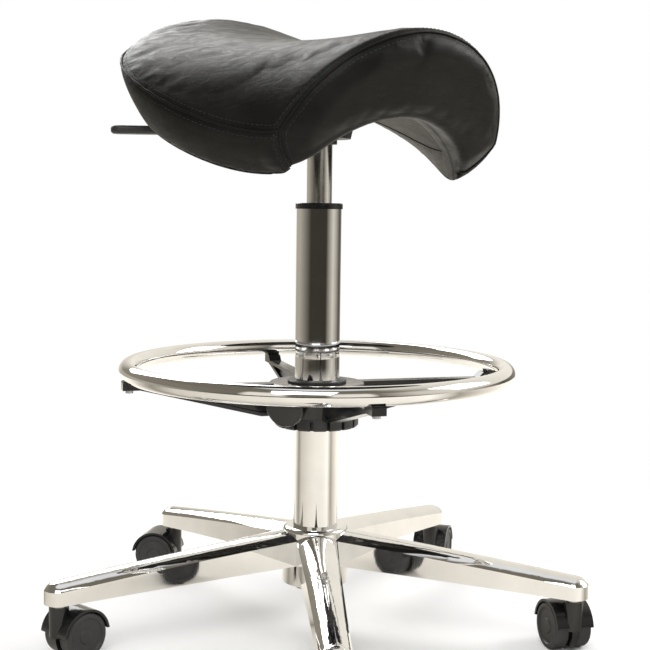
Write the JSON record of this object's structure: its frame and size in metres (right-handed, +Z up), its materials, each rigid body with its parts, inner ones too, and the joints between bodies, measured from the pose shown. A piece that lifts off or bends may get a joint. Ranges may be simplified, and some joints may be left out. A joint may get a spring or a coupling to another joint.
{
  "type": "saddle stool",
  "caption": "Height-adjustable saddle stool: padded leather saddle on a gas lift column, with a clamped foot ring and a star base that rolls on swivelling twin-wheel castors.",
  "frame": {"origin": "on the floor, under the column's axis", "axes": "+Z up along the column; the rider faces -Y, with the right leg towards -X"},
  "size_m": [0.6207, 0.5996, 0.7019],
  "materials": {
    "leather": "grained",
    "foam": "open cell",
    "plywood": "sanded",
    "chrome": "polished",
    "bright_steel": "ground",
    "zinc_steel": "zinc plated",
    "black_paint": "powder coated",
    "gloss_black": "moulded",
    "matt_black": "moulded",
    "tread": "moulded",
    "light_alloy": "machined",
    "brass": "machined",
    "rubber": "moulded"
  },
  "bodies": {
    "base": {"star_base": "chrome", "castor_stems": "zinc_steel", "stem_grip_rings": "zinc_steel", "column_tube": "chrome", "guide_bush": "matt_black", "lower_race": "zinc_steel", "thrust_cage": "brass", "thrust_balls": "bright_steel"},
    "lift_rod": {"piston_rod": "bright_steel", "piston": "light_alloy", "upper_race": "zinc_steel", "rod_clip": "zinc_steel", "bump_stop": "rubber"},
    "seat": {"pressure_tube": "bright_steel", "rod_gland": "light_alloy", "valve_body": "light_alloy", "seat_plate": "black_paint", "lever_pin": "zinc_steel", "seat_pan": "plywood", "seat_foam": "foam", "seat_cover": "leather", "mount_block": "plywood", "seat_bolts": "zinc_steel", "tee_nuts": "zinc_steel"},
    "lever": {"lever_bar": "black_paint", "lever_grip": "matt_black"},
    "release_pin": {"release_pin": "bright_steel"},
    "ring_liner": {"ring_liner": "matt_black", "liner_nut": "matt_black"},
    "foot_ring": {"foot_ring": "chrome", "ring_hub": "gloss_black", "ring_screws": "zinc_steel", "screw_insert": "brass"},
    "clamp_pad": {"clamp_pad": "matt_black"},
    "clamp_knob": {"clamp_knob": "gloss_black", "clamp_screw": "zinc_steel"},
    "castor_1": {"castor_1_housing": "gloss_black", "castor_1_axle": "zinc_steel"},
    "castor_1_left": {"castor_1_wheel_left": "tread"},
    "castor_1_right": {"castor_1_wheel_right": "tread"},
    "castor_2": {"castor_2_housing": "gloss_black", "castor_2_axle": "zinc_steel"},
    "castor_2_left": {"castor_2_wheel_left": "tread"},
    "castor_2_right": {"castor_2_wheel_right": "tread"},
    "castor_3": {"castor_3_housing": "gloss_black", "castor_3_axle": "zinc_steel"},
    "castor_3_left": {"castor_3_wheel_left": "tread"},
    "castor_3_right": {"castor_3_wheel_right": "tread"},
    "castor_4": {"castor_4_housing": "gloss_black", "castor_4_axle": "zinc_steel"},
    "castor_4_left": {"castor_4_wheel_left": "tread"},
    "castor_4_right": {"castor_4_wheel_right": "tread"},
    "castor_5": {"castor_5_housing": "gloss_black", "castor_5_axle": "zinc_steel"},
    "castor_5_left": {"castor_5_wheel_left": "tread"},
    "castor_5_right": {"castor_5_wheel_right": "tread"}
  },
  "joints": [
    {"name": "seat_swivel", "type": "hinge", "parent": "base", "child": "lift_rod", "pos_m": [0, 0, 0.06], "axis": [0, 0, 1], "continuous": true},
    {"name": "seat_lift", "type": "slide", "parent": "lift_rod", "child": "seat", "axis": [0, 0, 1], "range_m": [-0.06, 0.14]},
    {"name": "lever_lift", "type": "hinge", "parent": "seat", "child": "lever", "pos_m": [-0.01966, 0.01377, 0.577], "axis": [0.5736, 0.8192, 0], "range_deg": [0, 6], "stiffness_Nm_per_rad": 12, "springref_deg": -2.86},
    {"name": "pin_press", "type": "slide", "parent": "seat", "child": "release_pin", "axis": [0, 0, 1], "range_m": [-0.0026, 0]},
    {"name": "ring_height", "type": "slide", "parent": "base", "child": "ring_liner", "axis": [0, 0, 1], "range_m": [-0.08, 0.09]},
    {"name": "ring_turn", "type": "hinge", "parent": "ring_liner", "child": "foot_ring", "pos_m": [0, 0, 0.267], "axis": [0, 0, 1], "continuous": true},
    {"name": "clamp_slide", "type": "slide", "parent": "foot_ring", "child": "clamp_pad", "axis": [-0.9336, -0.3584, 0], "range_m": [0, 0.00187]},
    {"name": "clamp_turn", "type": "hinge", "parent": "clamp_pad", "child": "clamp_knob", "pos_m": [-0.05602, -0.0215, 0.267], "axis": [-0.9336, -0.3584, 0], "range_deg": [0, 540]},
    {"name": "castor_1_swivel", "type": "hinge", "parent": "base", "child": "castor_1", "pos_m": [0, 0.29, 0.05], "axis": [0, 0, 1], "continuous": true},
    {"name": "castor_1_roll_left", "type": "hinge", "parent": "castor_1", "child": "castor_1_left", "pos_m": [-0.0135, 0.30609, 0.025], "axis": [-0.766, -0.6428, 0], "continuous": true},
    {"name": "castor_1_roll_right", "type": "hinge", "parent": "castor_1", "child": "castor_1_right", "pos_m": [-0.0135, 0.30609, 0.025], "axis": [-0.766, -0.6428, 0], "continuous": true},
    {"name": "castor_2_swivel", "type": "hinge", "parent": "base", "child": "castor_2", "pos_m": [-0.27581, 0.08962, 0.05], "axis": [0, 0, 1], "continuous": true},
    {"name": "castor_2_roll_left", "type": "hinge", "parent": "castor_2", "child": "castor_2_left", "pos_m": [-0.25496, 0.09217, 0.025], "axis": [-0.1219, 0.9925, 0], "continuous": true},
    {"name": "castor_2_roll_right", "type": "hinge", "parent": "castor_2", "child": "castor_2_right", "pos_m": [-0.25496, 0.09217, 0.025], "axis": [-0.1219, 0.9925, 0], "continuous": true},
    {"name": "castor_3_swivel", "type": "hinge", "parent": "base", "child": "castor_3", "pos_m": [-0.17046, -0.23461, 0.05], "axis": [0, 0, 1], "continuous": true},
    {"name": "castor_3_roll_left", "type": "hinge", "parent": "castor_3", "child": "castor_3_left", "pos_m": [-0.19064, -0.22883, 0.025], "axis": [-0.2756, -0.9613, 0], "continuous": true},
    {"name": "castor_3_roll_right", "type": "hinge", "parent": "castor_3", "child": "castor_3_right", "pos_m": [-0.19064, -0.22883, 0.025], "axis": [-0.2756, -0.9613, 0], "continuous": true},
    {"name": "castor_4_swivel", "type": "hinge", "parent": "base", "child": "castor_4", "pos_m": [0.17046, -0.23461, 0.05], "axis": [0, 0, 1], "continuous": true},
    {"name": "castor_4_roll_left", "type": "hinge", "parent": "castor_4", "child": "castor_4_left", "pos_m": [0.179, -0.21543, 0.025], "axis": [-0.9135, 0.4067, 0], "continuous": true},
    {"name": "castor_4_roll_right", "type": "hinge", "parent": "castor_4", "child": "castor_4_right", "pos_m": [0.179, -0.21543, 0.025], "axis": [-0.9135, 0.4067, 0], "continuous": true},
    {"name": "castor_5_swivel", "type": "hinge", "parent": "base", "child": "castor_5", "pos_m": [0.27581, 0.08962, 0.05], "axis": [0, 0, 1], "continuous": true},
    {"name": "castor_5_roll_left", "type": "hinge", "parent": "castor_5", "child": "castor_5_left", "pos_m": [0.29342, 0.10105, 0.025], "axis": [-0.5446, 0.8387, 0], "continuous": true},
    {"name": "castor_5_roll_right", "type": "hinge", "parent": "castor_5", "child": "castor_5_right", "pos_m": [0.29342, 0.10105, 0.025], "axis": [-0.5446, 0.8387, 0], "continuous": true}
  ],
  "couplings": [
    {"joint": "pin_press", "follows": "lever_lift", "m_per_rad": -0.024},
    {"joint": "clamp_turn", "follows": "clamp_slide", "rad_per_m": 5026.5}
  ]
}
